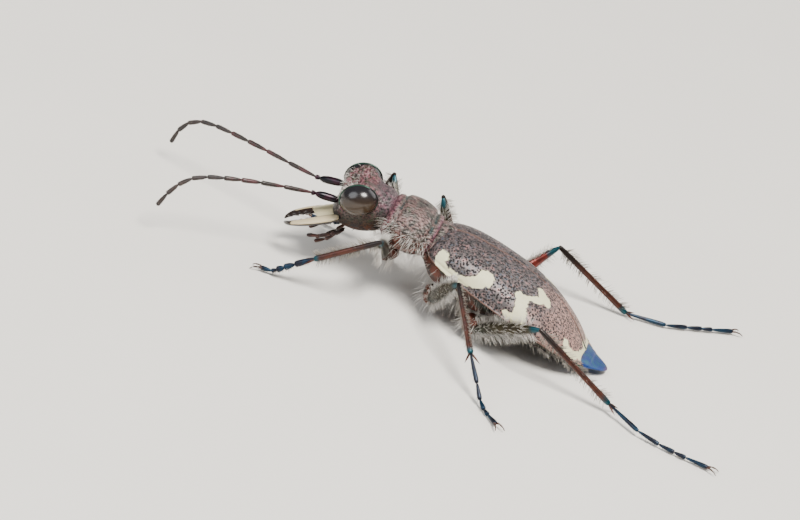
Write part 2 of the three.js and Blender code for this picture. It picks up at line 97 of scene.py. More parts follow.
LABRUM = dict(rear=-2.1, front=-3.1, half=0.7, z=0.17, drop=0.14, thick=0.07, arch=0.22)
LABRUM_TOOTH = 0.09
JAW = dict(
    base=(-1.9, 0.85), bulge=(-4.1, 1.3), tip=(-4.5, 0.16),
    root=0.36, point=0.04, thick=0.2,
)
JAW_TEETH = [(0.42, 0.22), (0.56, 0.28), (0.7, 0.28), (0.84, 0.14)]
JAW_HEIGHTS = {"left": (-0.02, -0.45), "right": (-0.28, -0.4)}
PALPS = {
    "maxillary_palp": [
        (-1.7, -0.7, -0.7), (-2.3, -0.86, -0.84),
        (-2.85, -0.8, -0.92), (-3.45, -0.52, -0.98),
    ],
    "labial_palp": [
        (-1.7, -0.26, -0.75), (-2.15, -0.3, -1.05),
        (-2.65, -0.3, -1.28), (-3.15, -0.26, -1.38),
    ],
}
PALP_RADII = [0.055, 0.085, 0.11]

# Cream strokes on a wing case: how far back from its base, share of the way from suture to margin, and
# half the width.
STROKES = {
    "shoulder": [(0.67, 0.78, 0.29), (0.67, 0.92, 0.24), (1.18, 0.96, 0.16), (1.6, 0.92, 0.09)],
    "second": [(1.66, 0.95, 0.1), (2.07, 0.91, 0.2), (2.58, 0.81, 0.27), (2.84, 0.67, 0.4)],
    "middle": [(4.5, 0.54, 0.19), (4.8, 0.64, 0.3), (5.02, 0.84, 0.34), (5.17, 0.94, 0.26)],
    "margin": [(4.4, 0.92, 0.14), (5.09, 0.88, 0.27)],
    "arm": [(4.69, 0.59, 0.24), (5.05, 0.47, 0.13), (5.5, 0.38, 0.2)],
    "inner": [(5.24, 0.24, 0.17), (5.57, 0.31, 0.32), (5.87, 0.36, 0.18)],
    "tip": [
        (7.45, 0.56, 0.15), (7.6, 0.7, 0.2), (8.05, 0.72, 0.19),
        (8.4, 0.46, 0.23), (8.5, 0.14, 0.2), (8.2, 0.08, 0.1),
    ],
}

ANTENNOMERES = [0.85, 0.22, 1.4, 1.15, 0.97, 0.85, 0.8, 0.75, 0.72, 0.7, 0.75]
ANTENNA_RADII = [0.16, 0.11, 0.1, 0.1, 0.105, 0.105, 0.1, 0.1, 0.1, 0.1, 0.095]
SCAPE_ROOT = 0.34
ANTENNA_LINES = {
    "left": [(-5.05, -0.75, 3.4), (-6.06, -1.1, 3.45), (-8.41, -2.3, 3.49),
             (-10.66, -3.4, 3.25), (-11.6, -3.85, 2.56), (-12.11, -4.1, 1.43)],
    "right": [(-5.25, 0.75, 3.52), (-6.43, 1.05, 3.22), (-9.32, 1.85, 3.15),
              (-12.08, 2.6, 2.93), (-13.17, 3.0, 2.17), (-13.54, 3.2, 1.0)],
}

SIDES = {"left": 1, "right": -1}
LEG_LENGTHS = {
    "front": dict(femur=3.0, tibia=3.25, tarsus=2.6),
    "middle": dict(femur=3.6, tibia=3.55, tarsus=3.8),
    "hind": dict(femur=4.2, tibia=4.6, tarsus=5.45),
}
HIPS = {"front": (-1.6, -1.0, -1.9), "middle": (1.2, -1.5, -2.3), "hind": (3.4, -2.2, -2.1)}
LEG_POSES = {
    "front_left": dict(femur=(-91, 37), tibia=(-176, -37), foot=179),
    "middle_left": dict(femur=(-60, 44), tibia=(-55, -29), foot=-49),
    "hind_left": dict(femur=(-25, 31), tibia=(0, -28), foot=-16),
    "front_right": dict(femur=(130, 55), tibia=(149, -75), foot=169),
    "middle_right": dict(femur=(141, 62), tibia=(39, -58), foot=43),
    "hind_right": dict(femur=(54.5, 28.5), tibia=(12, -30), foot=27),
}
FOOT_SHARES = [0.36, 0.2, 0.14, 0.1, 0.2]
FOOT_CURVES = {
    "front": dict(heel=0.8, bow=0.0),
    "middle": dict(heel=0.6, bow=0.0),
    "hind": dict(heel=0.6, bow=0.55),
}
SOLE_HEIGHT = 0.19
COXA_RADII = [0.5, 0.52, 0.44, 0.34]
TROCHANTER_RADII = [0.2, 0.24, 0.2]
FEMUR_RADII = {
    "front": [0.2, 0.32, 0.34, 0.28, 0.2, 0.17],
    "middle": [0.2, 0.32, 0.34, 0.28, 0.2, 0.17],
    "hind": [0.2, 0.29, 0.33, 0.29, 0.21, 0.18],
}
TIBIA_RADII = [0.13, 0.14, 0.135, 0.135, 0.14, 0.17]
SPUR = dict(length=0.5, spread=38, lowest=0.15, radii=[0.05, 0.045, 0.012])
FOOT_THICK = 0.105
PAD_THICK = 0.15
CLAW_LINE = [(0.0, 0.05, 0.0), (0.2, 0.12, 0.05), (0.42, 0.2, 0.0), (0.55, 0.24, -0.1)]
CLAW_RADII = [(0.05, 0.045), (0.038, 0.031), (0.026, 0.017)]

CAMERA = dict(
    azimuth=5.9, elevation=26.7, roll=19.4,
    distance=250.0, lens=246.0, target=(-1.28, 0.0, 1.40),
)

# Lamps, in metres and watts: the way each one shines from, how wide it is, its power and its colour.
LAMPS = {
    "key_light": dict(way=(0.25, -0.35, 1.0), wide=0.13, power=2.0, colour=(1.0, 0.97, 0.92)),
    "fill_light": dict(way=(-0.9, -0.8, 0.9), wide=0.24, power=0.65, colour=(0.92, 0.96, 1.0)),
    "back_light": dict(way=(0.8, 1.0, 0.8), wide=0.25, power=0.4, colour=(1.0, 0.98, 0.95)),
}
LAMP_DISTANCE = 0.3
LAMP_TARGET = (0, 0, 0.002)
SKY = dict(colour=(0.86, 0.88, 0.92, 1), strength=0.16)

# Rows of hairs: how many, between which shares of the skin's length, how long and thick, how far they lean
# along the skin, how much they droop, and how unlike one another they are.
HAIRS = {
    "thigh_edge": dict(count=150, run=(0.08, 0.88), long=0.5, thick=0.009, lean=0.4, droop=0.1, spread=0.1),
    "thigh_face": dict(count=220, run=(0.05, 0.8), long=0.34, thick=0.007, lean=1.6, droop=0.1, spread=0.2),
    "hip": dict(count=80, run=(0.1, 0.95), long=0.55, thick=0.009, lean=0.4, droop=0.35),
    "shin_edges": dict(count=100, run=(0.06, 0.96), long=0.38, thick=0.011, lean=0.6, spread=0.1),
    "shin": dict(count=24, run=(0.06, 0.96), long=0.22, thick=0.006, lean=0.7, spread=0.15),
    "sole": dict(count=16, run=(0.2, 0.98), long=0.14, thick=0.007, lean=0.8, spread=0.15),
    "chest": dict(count=180, run=(0.08, 0.95), long=0.7, thick=0.007, lean=-0.2, droop=0.5),
    "hem": dict(count=130, run=(0.03, 0.95), long=0.65, thick=0.007, lean=-0.2, droop=0.5, spread=0.35),
    "flanks": dict(count=340, run=(0.05, 0.97), long=0.65, thick=0.007, lean=0.2, droop=0.45),
    "belly": dict(count=300, run=(0.02, 0.8), long=0.34, thick=0.01, lean=0.9, droop=0.2),
    "brows": dict(count=80, run=(0.14, 0.42), long=0.22, thick=0.008, lean=-0.6, droop=0.25, spread=0.35),
    "throat": dict(count=60, run=(0.55, 0.98), long=0.4, thick=0.01, lean=0.0, droop=0.35),
    "whip": dict(count=60, run=(0.05, 0.98), long=0.05, thick=0.005, lean=0.9, spread=0.15),
    "whip_root": dict(count=8, run=(0.3, 0.98), long=0.16, thick=0.006, lean=0.8, spread=0.15),
}

# The hairs' unwrap: squares to a side, the free edge of each square, and the size of one hair's patch.
CELLS = 9
MARGIN = 0.03
PATCH = 0.003


# Shape helpers

def along(values, s):
    """The value at share s of a form's length, on a smooth curve through values at even steps."""
    place = (len(values) - 1) * min(max(s, 0.0), 1.0)
    i = min(int(place), len(values) - 2)
    w = place - i
    before = values[max(i - 1, 0)]
    a, b = values[i], values[i + 1]
    after = values[min(i + 2, len(values) - 1)]
    rise_a = (b - before) / 2
    rise_b = (after - a) / 2
    cubed = 2 * a - 2 * b + rise_a + rise_b
    squared = 3 * b - 3 * a - 2 * rise_a - rise_b
    return cubed * w ** 3 + squared * w ** 2 + rise_a * w + a


def fullness(s, blunt):
    """How wide a form is at share s, from 0 at its ends to 1; blunt is the power of its front and rear."""
    power = blunt[0] if s < 0.5 else blunt[1]
    return max(0.0, 1 - abs(2 * s - 1) ** power) ** (1 / power)


def bump(value, centre, width):
    """A soft hill of height 1."""
    return math.exp(-(((value - centre) / width) ** 2))


def plateau(value, centre, width):
    """A hill of height 1 with a flatter top."""
    return math.exp(-(((value - centre) / width) ** 4))


def powered(value, power):
    """A power that keeps its number's sign."""
    return math.copysign(abs(value) ** power, value)


def turned(axis, degrees):
    """A turn round an axis through the origin."""
    return Matrix.Rotation(math.radians(degrees), 4, axis)


STANCE = Matrix.Translation((0, 0, BODY_LIFT)) @ turned("Y", BODY_PITCH)
BODY = STANCE @ turned("X", -BODY_ROLL)
FORE = BODY @ turned("Z", FORE_TURN)
HEAD_TURNS = turned("Z", HEAD_TURN) @ turned("Y", HEAD_TILT) @ turned("X", -HEAD_ROLL)
HEAD_FRAME = STANCE @ Matrix.Translation(NECK) @ HEAD_TURNS

# The solids were centred on their own footprint: the left eye says by how much.
eye_low, eye_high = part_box("eye_left")
SHIFT = (eye_low + eye_high) / 2 / MM - HEAD_FRAME @ Vector((EYE["x"], -EYE["y"], EYE["z"]))
SHIFT.z = 0


def placed(matrix, point):
    """A point in a part's own frame as metres in the model."""
    return (matrix @ Vector(point) + SHIFT) * MM


class Skin:
    """The surface of a closed form: where a share of its length and an angle round it lie, in metres."""

    unwrapped = 0

    def __init__(self, at):
        self.at = at
        self.cell = None

    def unwrap(self, s, turn):
        """A point's place on the unwrap, where each skin that bears hair has a square of its own."""
        if self.cell is None:
            self.cell = Skin.unwrapped
            Skin.unwrapped += 1
        across = MARGIN + (1 - 2 * MARGIN) * ((turn / (2 * math.pi)) % 1)
        along_it = MARGIN + (1 - 2 * MARGIN) * s
        return (self.cell % CELLS + across) / CELLS, (self.cell // CELLS + along_it) / CELLS

    def normal(self, s, turn):
        """The way out of the form."""
        step = 0.004
        ahead = self.at(min(s + step, 0.999), turn) - self.at(max(s - step, 0.001), turn)
        round_it = self.at(s, turn + step) - self.at(s, turn - step)
        return round_it.cross(ahead).normalized()

    def flow(self, s, turn):
        """The way along the form."""
        step = 0.01
        return (self.at(min(s + step, 1), turn) - self.at(max(s - step, 0), turn)).normalized()


def only_selected(*pieces):
    """Selects pieces and nothing else; the first is the active one."""
    bpy.ops.object.select_all(action="DESELECT")
    for piece in pieces:
        piece.select_set(True)
    bpy.context.view_layer.objects.active = pieces[0]


def finished(piece, name, node=None, material=None):
    """Names a piece, gives it its finish, and lets it stand for its solid."""
    piece.name = name
    piece.data.name = name
    if material:
        piece.data.materials.clear()
        piece.data.materials.append(material)
    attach(piece, "root")
    if node:
        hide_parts(*([node] if isinstance(node, str) else node))
    return piece


def added(operator, **settings):
    """A new plain piece from one of the mesh operators."""
    bpy.ops.object.select_all(action="DESELECT")
    operator(**settings)
    return bpy.context.object


def marked(piece, *names):
    """Fields that keep a number at each point of a piece for its finish."""
    return {name: piece.data.attributes.new(name, "FLOAT", "POINT") for name in names}


def shaped(skin, segments, rings, **marks):
    """A ball whose points are moved onto a skin, with each mark(s, turn) kept for its finish."""
    piece = added(bpy.ops.mesh.primitive_uv_sphere_add, segments=segments, ring_count=rings, radius=1)
    marks = {"length": lambda s, turn: s, "height": lambda s, turn: math.sin(turn), **marks}
    fields = marked(piece, *marks)
    for i, vertex in enumerate(piece.data.vertices):
        x, y, z = vertex.co
        s = (1 - max(-1.0, min(1.0, z))) / 2
        turn = math.atan2(x, y)
        for name, mark in marks.items():
            fields[name].data[i].value = mark(s, turn)
        vertex.co = skin.at(s, turn)
    piece.data.shade_smooth()
    return piece


def joined(pieces):
    """Several pieces as one."""
    only_selected(*pieces)
    bpy.ops.object.join()
    return bpy.context.view_layer.objects.active


def facing_out(piece, weld=None):
    """Turns the faces of a piece outward, after points nearer than `weld` metres are made one."""
    only_selected(piece)
    bpy.ops.object.mode_set(mode="EDIT")
    bpy.ops.mesh.select_all(action="SELECT")
    if weld:
        bpy.ops.mesh.remove_doubles(threshold=weld)
    bpy.ops.mesh.normals_make_consistent(inside=False)
    bpy.ops.object.mode_set(mode="OBJECT")


def body_skin(form, matrix, detail=lambda s, turn: 0.0):
    """The skin of a trunk form; detail(s, turn) raises it by millimetres."""

    def at(s, turn):
        full = fullness(s, form["blunt"])
        lift = detail(s, turn)
        half = (along(form["half"], s) + lift) * full
        top = along(form["top"], s)
        low = along(form["low"], s)
        middle = (top + low) / 2
        tall = ((top - low) / 2 + lift) * full
        power = 2 / form["square"]
        x = form["front"] + (form["back"] - form["front"]) * s
        y = half * powered(math.cos(turn), power)
        z = middle + tall * powered(math.sin(turn), power)
        return placed(matrix, (x, y, z))

    return Skin(at)


def aimed(start, end):
    """A frame at start whose X axis points to end and whose Z axis points up as far as it can."""
    x = (end - start).normalized()
    y = Vector((0, 0, 1)).cross(x).normalized()
    z = x.cross(y)
    matrix = Matrix((x, y, z)).transposed().to_4x4()
    matrix.translation = start
    return matrix


def limb_skin(start, end, radii, blunt=3.0, flat=1.0, bow=0.0):
    """A limb between two points of the floor's frame; flat squeezes it sideways, bow arches it upward."""
    matrix = aimed(start, end)
    length = (end - start).length

    def at(s, turn):
        radius = along(radii, s) * fullness(s, (blunt, blunt))
        arch = bow * (1 - (2 * s - 1) ** 2)
        across = radius * flat * math.cos(turn)
        rise = radius * math.sin(turn) + arch
        return placed(matrix, (length * s, across, rise))

    return Skin(at)


# Material maths

# Millimetres to a metre along each axis of the finishes' coordinates; less of them stretches a pattern.
PER_METRE = (1000.0, 1000.0, 1000.0)


class Value:
    """A socket of a node tree that takes part in sums."""

    def __init__(self, finish, socket):
        self.finish = finish
        self.socket = socket

    def maths(self, operation, first, second):
        """The outcome of one sum."""
        return self.finish.node("ShaderNodeMath", {"operation": operation}, {0: first, 1: second})

    def __add__(self, other):
        return self.maths("ADD", self, other)

    def __radd__(self, other):
        return self.maths("ADD", other, self)

    def __sub__(self, other):
        return self.maths("SUBTRACT", self, other)

    def __rsub__(self, other):
        return self.maths("SUBTRACT", other, self)

    def __mul__(self, other):
        return self.maths("MULTIPLY", self, other)

    def __rmul__(self, other):
        return self.maths("MULTIPLY", other, self)


class Finish:
    """A procedural material in the making."""

    def __init__(self, name, **constants):
        self.material = bpy.data.materials.new(name)
        self.material.use_nodes = True
        self.tree = self.material.node_tree
        self.shader = self.tree.nodes["Principled BSDF"]
        for key, value in constants.items():
            self.shader.inputs[key.replace("_", " ")].default_value = value

    def node(self, kind, settings=None, inputs=None, output=0):
        """Any node, with its inputs linked or set, as the value of one of its outputs."""
        node = self.tree.nodes.new(kind)
        for key, value in (settings or {}).items():
            setattr(node, key, value)
        for key, value in (inputs or {}).items():
            if isinstance(value, Value):
                self.tree.links.new(value.socket, node.inputs[key])
            else:
                node.inputs[key].default_value = value
        return Value(self, node.outputs[output])

    def point(self, scale=PER_METRE):
        """Object coordinates in millimetres."""
        coordinates = self.node("ShaderNodeTexCoord", output="Object")
        return self.node("ShaderNodeMapping", inputs={"Vector": coordinates, "Scale": scale})

    def noise(self, size, detail=3.0, scale=PER_METRE):
        """Soft noise whose features are about `size` millimetres."""
        inputs = {"Vector": self.point(scale), "Scale": 1 / size, "Detail": detail}
        return self.node("ShaderNodeTexNoise", inputs=inputs, output="Fac")

    def cells(self, size, output="Distance"):
        """Round cells `size` millimetres apart: the distance from a cell's middle, or its own colour."""
        inputs = {"Vector": self.point(), "Scale": 1 / size}
        return self.node("ShaderNodeTexVoronoi", inputs=inputs, output=output)

    def attribute(self, name):
        """A number kept at each point of the piece."""
        return self.node("ShaderNodeAttribute", {"attribute_name": name}, output="Fac")

    def step(self, value, low, high):
        """0 at low and 1 at high, with soft ends; low may be the greater."""
        inputs = {"Value": value, "From Min": low, "From Max": high}
        return self.node("ShaderNodeMapRange", {"interpolation_type": "SMOOTHSTEP"}, inputs)

    def distance(self, value, centre):
        """How far a value lies from a centre."""
        return self.node("ShaderNodeMath", {"operation": "ABSOLUTE"}, {0: value - centre})

    def mix(self, factor, first, second):
        """A blend of two colours."""
        inputs = {0: factor, 6: first, 7: second}
        for key in (6, 7):
            if isinstance(inputs[key], tuple):
                inputs[key] = (*inputs[key][:3], 1.0)
        return self.node("ShaderNodeMix", {"data_type": "RGBA"}, inputs, 2)

    def done(self, relief=None, depth=0.02, strength=1.0, **surface):
        """Links what changes over the surface and a relief `depth` millimetres high."""
        if relief:
            inputs = {"Height": relief, "Distance": depth * MM, "Strength": strength}
            surface["Normal"] = self.node("ShaderNodeBump", inputs=inputs)
        for key, value in surface.items():
            self.tree.links.new(value.socket, self.shader.inputs[key.replace("_", " ")])
        return self.material


# Palette

CREAM = (0.72, 0.69, 0.46)
# Near black: the colour of real dark parts, and also the painted shade in pits and creases.
NEAR_BLACK = (0.008, 0.006, 0.007)
SLATE = (0.075, 0.067, 0.067)
MAUVE = (0.135, 0.10, 0.098)
ROSE = (0.26, 0.10, 0.12)
MAGENTA = (0.18, 0.04, 0.085)
VIOLET = (0.08, 0.045, 0.09)
COPPER = (0.15, 0.03, 0.013)
RUST = (0.03, 0.009, 0.004)
TEAL = (0.002, 0.045, 0.06)
GREEN = (0.015, 0.05, 0.016)
BLUE = (0.002, 0.03, 0.17)


# Finishes

def elytron_finish():
    """Dull bronze purple, finely pitted with painted shade in the pits and painted pink and blue glints,
    rosier to the rear, cream strokes with crisp edges.
    """
    finish = Finish("elytron_bronze", Specular_IOR_Level=0.4)
    pits = finish.cells(PIT)
    tint = finish.cells(PIT, output="Color")
    glint = finish.node("ShaderNodeSeparateColor", inputs={"Color": tint})
    blue_glint = finish.node("ShaderNodeSeparateColor", inputs={"Color": tint}, output=1)
    dark = finish.mix(finish.step(glint, 0.3, 0.7), SLATE, MAUVE)
    # Painted glints: a few cells are lightened to pink, and a few to blue, for sparkle off the metallic
    # cuticle.
    dark = finish.mix(finish.step(glint, 0.86, 0.92) * 0.6, dark, (0.32, 0.17, 0.16))
    dark = finish.mix(finish.step(blue_glint, 0.84, 0.9) * 0.4, dark, (0.09, 0.13, 0.18))
    rear = finish.attribute("rear")
    rosy = finish.mix(finish.step(glint, 0.2, 0.7), (0.23, 0.13, 0.11), (0.39, 0.225, 0.185))
    ground = finish.mix(finish.step(rear + finish.noise(0.8) * 0.3, 0.66, 0.98), dark, rosy)
    # Painted shade: the pits are darkened to near black, as shade would fall in them.
    ground = finish.mix(finish.step(pits, 0.57, 0.34), ground, NEAR_BLACK)
    rim = finish.attribute("rim")
    lining = finish.mix(finish.step(rear, 0.86, 0.93), (0.14, 0.078, 0.062), (0.015, 0.04, 0.02))
    ground = finish.mix(finish.step(rim, 0.35, 0.7), ground, lining)
    edge = finish.attribute("cream") + finish.noise(0.22) * 0.34 - 0.17
    mask = finish.step(edge, -0.02, 0.025)
    cream = finish.mix(finish.noise(0.15), CREAM, (0.62, 0.58, 0.36))
    colour = finish.mix(mask, ground, cream)
    metallic = (1 - mask) * 0.2
    roughness = 0.42 + mask * 0.1
    relief = finish.step(pits, 0.1, 0.5) * (1 - mask * 0.8)
    return finish.done(relief, 0.03, 0.8, Base_Color=colour, Roughness=roughness, Metallic=metallic)


def wrinkles(finish, stretch):
    """Fine irregular wrinkles, longer across the side where the scale is smaller."""
    fine = finish.noise(0.12, scale=stretch)
    broken = finish.noise(0.07, 2.0)
    return fine * 0.75 + broken * 0.25


def pronotum_finish():
    """Mauve disc with cross wrinkles that have painted highlights on their ridges and painted shade in
    their creases, pink rims, blue-green furrows and copper sides.
    """
    finish = Finish("pronotum_mauve", Metallic=0.3, Specular_IOR_Level=0.4)
    run = finish.attribute("length")
    height = finish.attribute("height")
    crease = wrinkles(finish, (700.0, 1500.0, 1500.0))
    blotch = finish.noise(0.35)
    colour = finish.mix(finish.step(blotch, 0.4, 0.6), (0.09, 0.08, 0.07), (0.20, 0.12, 0.11))
    colour = finish.mix(finish.step(finish.noise(0.2), 0.6, 0.72) * 0.7, colour, GREEN)
    flank = finish.mix(finish.step(blotch, 0.35, 0.65), RUST, COPPER)
    colour = finish.mix(finish.step(height + blotch * 0.3, 0.25, -0.05), colour, flank)
    rear_furrow = finish.step(finish.distance(run, 0.85), 0.05, 0.01)
    front_furrow = finish.step(finish.distance(run, 0.15), 0.035, 0.008)
    furrow = rear_furrow + front_furrow
    furrow = furrow * finish.step(finish.noise(0.25), 0.38, 0.55)
    colour = finish.mix(furrow * 0.7, colour, finish.mix(blotch, TEAL, (0.01, 0.07, 0.05)))
    rim = finish.step(run, 0.90, 0.95) + finish.step(run, 0.1, 0.05)
    colour = finish.mix(rim * 0.7, colour, finish.mix(finish.step(blotch, 0.4, 0.6), MAGENTA, ROSE))
    # Painted highlight on the wrinkle ridges, then painted shade in the wrinkle creases.
    colour = finish.mix(finish.step(crease, 0.54, 0.64) * 0.5, colour, (0.42, 0.35, 0.33))
    colour = finish.mix(finish.step(crease, 0.51, 0.42) * 0.9, colour, NEAR_BLACK)
    return finish.done(crease, 0.09, Base_Color=colour, Roughness=0.3 + crease * 0.25)


def head_finish():
    """Pink and violet crown, green behind the eyes, copper brown cheeks, with painted highlights on the
    wrinkle ridges of the upper head and painted shade in the wrinkle creases.
    """
    finish = Finish("head_pink", Metallic=0.25, Specular_IOR_Level=0.3)
    run = finish.attribute("length")
    height = finish.attribute("height")
    crease = wrinkles(finish, (1500.0, 800.0, 1500.0))
    blotch = finish.noise(0.3)
    colour = finish.mix(finish.step(blotch, 0.4, 0.6), (0.22, 0.088, 0.10), (0.11, 0.08, 0.075))
    mottle = finish.step(finish.noise(0.18), 0.52, 0.64) * 0.8
    colour = finish.mix(mottle, colour, (0.04, 0.07, 0.035))
    nape = finish.mix(blotch, VIOLET, SLATE)
    colour = finish.mix(finish.step(run + blotch * 0.2, 0.74, 0.88) * 0.5, colour, nape)
    under_eye = finish.step(height + blotch * 0.5, 0.45, 0.1) * 0.75
    colour = finish.mix(under_eye, colour, (0.014, 0.024, 0.010))
    cheek = finish.mix(finish.step(blotch, 0.35, 0.65), (0.016, 0.006, 0.002), (0.07, 0.018, 0.003))
    colour = finish.mix(finish.step(height + blotch * 0.4, 0.15, -0.25), colour, cheek)
    colour = finish.mix(finish.step(run, 0.2, 0.08) * 0.9, colour, (0.012, 0.014, 0.010))
    # Painted highlight on the wrinkle ridges of the upper head, then painted shade in the wrinkle creases.
    shine = finish.step(crease, 0.54, 0.64) * finish.step(height, 0.1, 0.5) * 0.5
    colour = finish.mix(shine, colour, (0.36, 0.27, 0.27))
    colour = finish.mix(finish.step(crease, 0.51, 0.42) * 0.85, colour, NEAR_BLACK)
    return finish.done(crease, 0.08, Base_Color=colour, Roughness=0.3 + crease * 0.25)


def flank_finish():
    """Dark red copper plates with green and black between them."""
    finish = Finish("flank_copper", Metallic=0.25)
    blotch = finish.noise(0.5)
    colour = finish.mix(finish.step(blotch, 0.4, 0.6), RUST, (0.09, 0.016, 0.005))
    colour = finish.mix(finish.step(finish.noise(0.8, 2.0), 0.5, 0.62), colour, (0.007, 0.010, 0.006))
    return finish.done(finish.noise(0.1), 0.02, 0.8, Base_Color=colour)


def belly_finish():
    """Dark bronze green plates that turn bright blue toward the tip."""
    finish = Finish("belly_bronze_and_blue", Metallic=0.35, Roughness=0.42)
    run = finish.attribute("length") + finish.noise(0.5) * 0.06
    blotch = finish.step(finish.noise(0.4), 0.4, 0.6)
    colour = finish.mix(blotch, (0.012, 0.016, 0.009), (0.035, 0.013, 0.008))
    tip = finish.mix(finish.step(finish.noise(0.35), 0.42, 0.62), BLUE, (0.002, 0.07, 0.14))
    tip = finish.mix(finish.step(run, 0.99, 1.03) * 0.5, tip, MAGENTA)
    colour = finish.mix(finish.step(run, 0.78, 0.83), colour, tip)
    return finish.done(finish.noise(0.07), 0.012, 0.8, Base_Color=colour)


def metal_finish(name, first, second, size=0.6, metallic=0.6, roughness=0.3):
    """Smooth metallic cuticle that drifts between two colours."""
    finish = Finish(name, Metallic=metallic, Roughness=roughness)
    colour = finish.mix(finish.step(finish.noise(size), 0.4, 0.6), first, second)
    return finish.done(finish.noise(0.06, 2.0), 0.006, 0.6, Base_Color=colour)


def limb_finish(name, start, middle, knee_from):
    """A limb's colour from its root to its middle, teal toward its end."""
    finish = Finish(name, Metallic=0.5, Roughness=0.28)
    run = finish.attribute("length") + finish.noise(0.3) * 0.1 - 0.05
    blotch = finish.step(finish.noise(0.25), 0.4, 0.6)
    colour = finish.mix(finish.step(run, 0.1, 0.5), start, middle)
    colour = finish.mix(blotch * 0.45, colour, NEAR_BLACK)
    colour = finish.mix(finish.step(run, knee_from - 0.05, knee_from + 0.04), colour, TEAL)
    return finish.done(finish.noise(0.07, 2.0), 0.008, 0.6, Base_Color=colour)


def eye_finish():
    """Dark glossy facets, browner below, black toward the edge."""
    finish = Finish("eye_grey_brown", Roughness=0.2, Specular_IOR_Level=0.5)
    height = finish.attribute("height")
    rim = finish.attribute("length")
    colour = finish.mix(finish.step(height, -0.6, 0.9), (0.05, 0.03, 0.016), (0.012, 0.011, 0.013))
    colour = finish.mix(finish.step(finish.distance(rim, 0.5), 0.36, 0.5) * 0.8, colour, NEAR_BLACK)
    facets = finish.cells(0.03)
    return finish.done(facets, 0.003, 0.25, Base_Color=colour)


def ivory_finish():
    """Pale lip with a few dark dots."""
    finish = Finish("ivory", Roughness=0.35)
    spots = finish.step(finish.cells(0.5), 0.16, 0.1)
    colour = finish.mix(finish.noise(0.3), (0.40, 0.34, 0.20), (0.56, 0.50, 0.32))
    colour = finish.mix(spots, colour, (0.05, 0.04, 0.03))
    return finish.done(finish.noise(0.08), 0.008, Base_Color=colour)


def jaw_finish():
    """Ivory that turns black where the jaw says so."""
    finish = Finish("jaw_ivory_and_black", Roughness=0.25, Coat_Weight=0.2)
    black = finish.attribute("black") + finish.noise(0.2) * 0.16 - 0.08
    colour = finish.mix(finish.step(black, 0.42, 0.58), (0.52, 0.43, 0.27), (0.014, 0.008, 0.006))
    return finish.done(finish.noise(0.1), 0.008, Base_Color=colour)


def hair_finish(name, colour):
    """Hairs of one colour, some of them a little darker."""
    finish = Finish(name, Roughness=0.45)
    shade = finish.mix(finish.noise(0.3), colour, tuple(0.8 * c for c in colour))
    return finish.done(Base_Color=shade)


def floor_finish():
    """A plain pale floor."""
    finish = Finish("pale_floor", Roughness=0.85)
    colour = finish.mix(finish.noise(9.0), (0.74, 0.71, 0.66), (0.78, 0.75, 0.70))
    return finish.done(Base_Color=colour)


# Wing cases

def elytron_point(s, share, sign, lift=0.0):
    """A point of a wing case at share s of its length and share of the way from suture to margin."""
    full = fullness(s, ELYTRA["blunt"])
    margin = along(ELYTRA["low"], s)
    rise = (along(ELYTRA["top"], s) - margin + lift) * full
    turn = math.pi / 2 * (1 - share)
    power = 2 / along(ELYTRA["square"], s)
    half = (along(ELYTRA["half"], s) + lift) * full
    x = ELYTRA["front"] + (ELYTRA["back"] - ELYTRA["front"]) * s
    y = half * abs(math.cos(turn)) ** power
    z = margin + rise * max(0.0, math.sin(turn)) ** power
    return Vector((x, -sign * max(y, 0.012), z))


def elytron_detail(share):
    """Raised suture and margin rims with a shallow gutter beside each."""
    return (
        0.02 * bump(share, 0.0, 0.012)
        - 0.015 * bump(share, 0.03, 0.02)
        - 0.03 * bump(share, 0.965, 0.02)
        + 0.03 * bump(share, 1.0, 0.014)
    )


def cream_value(point, strokes):
    """How far inside the nearest cream stroke a point lies, in millimetres."""
    best = -1.0
    for stroke in strokes:
        for (a, wide_a), (b, wide_b) in zip(stroke, stroke[1:]):
            run = b - a
            t = max(0.0, min(1.0, (point - a).dot(run) / run.length_squared))
            best = max(best, wide_a + (wide_b - wide_a) * t - (point - a - run * t).length)
    return best


def build_elytron(side, material):
    """A wing case: a sheet laid over the body, then given its wall."""
    sign = SIDES[side]
    rows, columns = ELYTRON_GRID
    piece = added(
        bpy.ops.mesh.primitive_grid_add, x_subdivisions=rows, y_subdivisions=columns, size=2
    )
    strokes = []
    for stroke in STROKES.values():
        middles = []
        for x, share, wide in stroke:
            s = (x - ELYTRA["front"]) / (ELYTRA["back"] - ELYTRA["front"])
            middles.append((elytron_point(s, share, sign), wide))
        strokes.append(middles)
    fields = marked(piece, "cream", "rear", "rim")
    for i, vertex in enumerate(piece.data.vertices):
        s = (1 - math.cos(math.pi * (vertex.co.x + 1) / 2)) / 2
        share = (vertex.co.y + 1) / 2
        point = elytron_point(s, share, sign, elytron_detail(share))
        fields["cream"].data[i].value = cream_value(elytron_point(s, share, sign), strokes)
        fields["rear"].data[i].value = s
        fields["rim"].data[i].value = max(bump(share, 0.0, 0.011), bump(share, 1.0, 0.014))
        vertex.co = placed(BODY, point)
    facing_out(piece, weld=0.002 * MM)
    middle = piece.data.polygons[len(piece.data.polygons) // 2]
    if middle.normal.z < 0:
        piece.data.flip_normals()
    only_selected(piece)
    wall = piece.modifiers.new("wall", "SOLIDIFY")
    wall.thickness = ELYTRON_WALL * MM
    wall.offset = -1.0
    bpy.ops.object.modifier_apply(modifier=wall.name)
    piece.data.shade_smooth()
    return finished(piece, f"elytron_{side}_case", f"elytron_{side}", material)


# Trunk

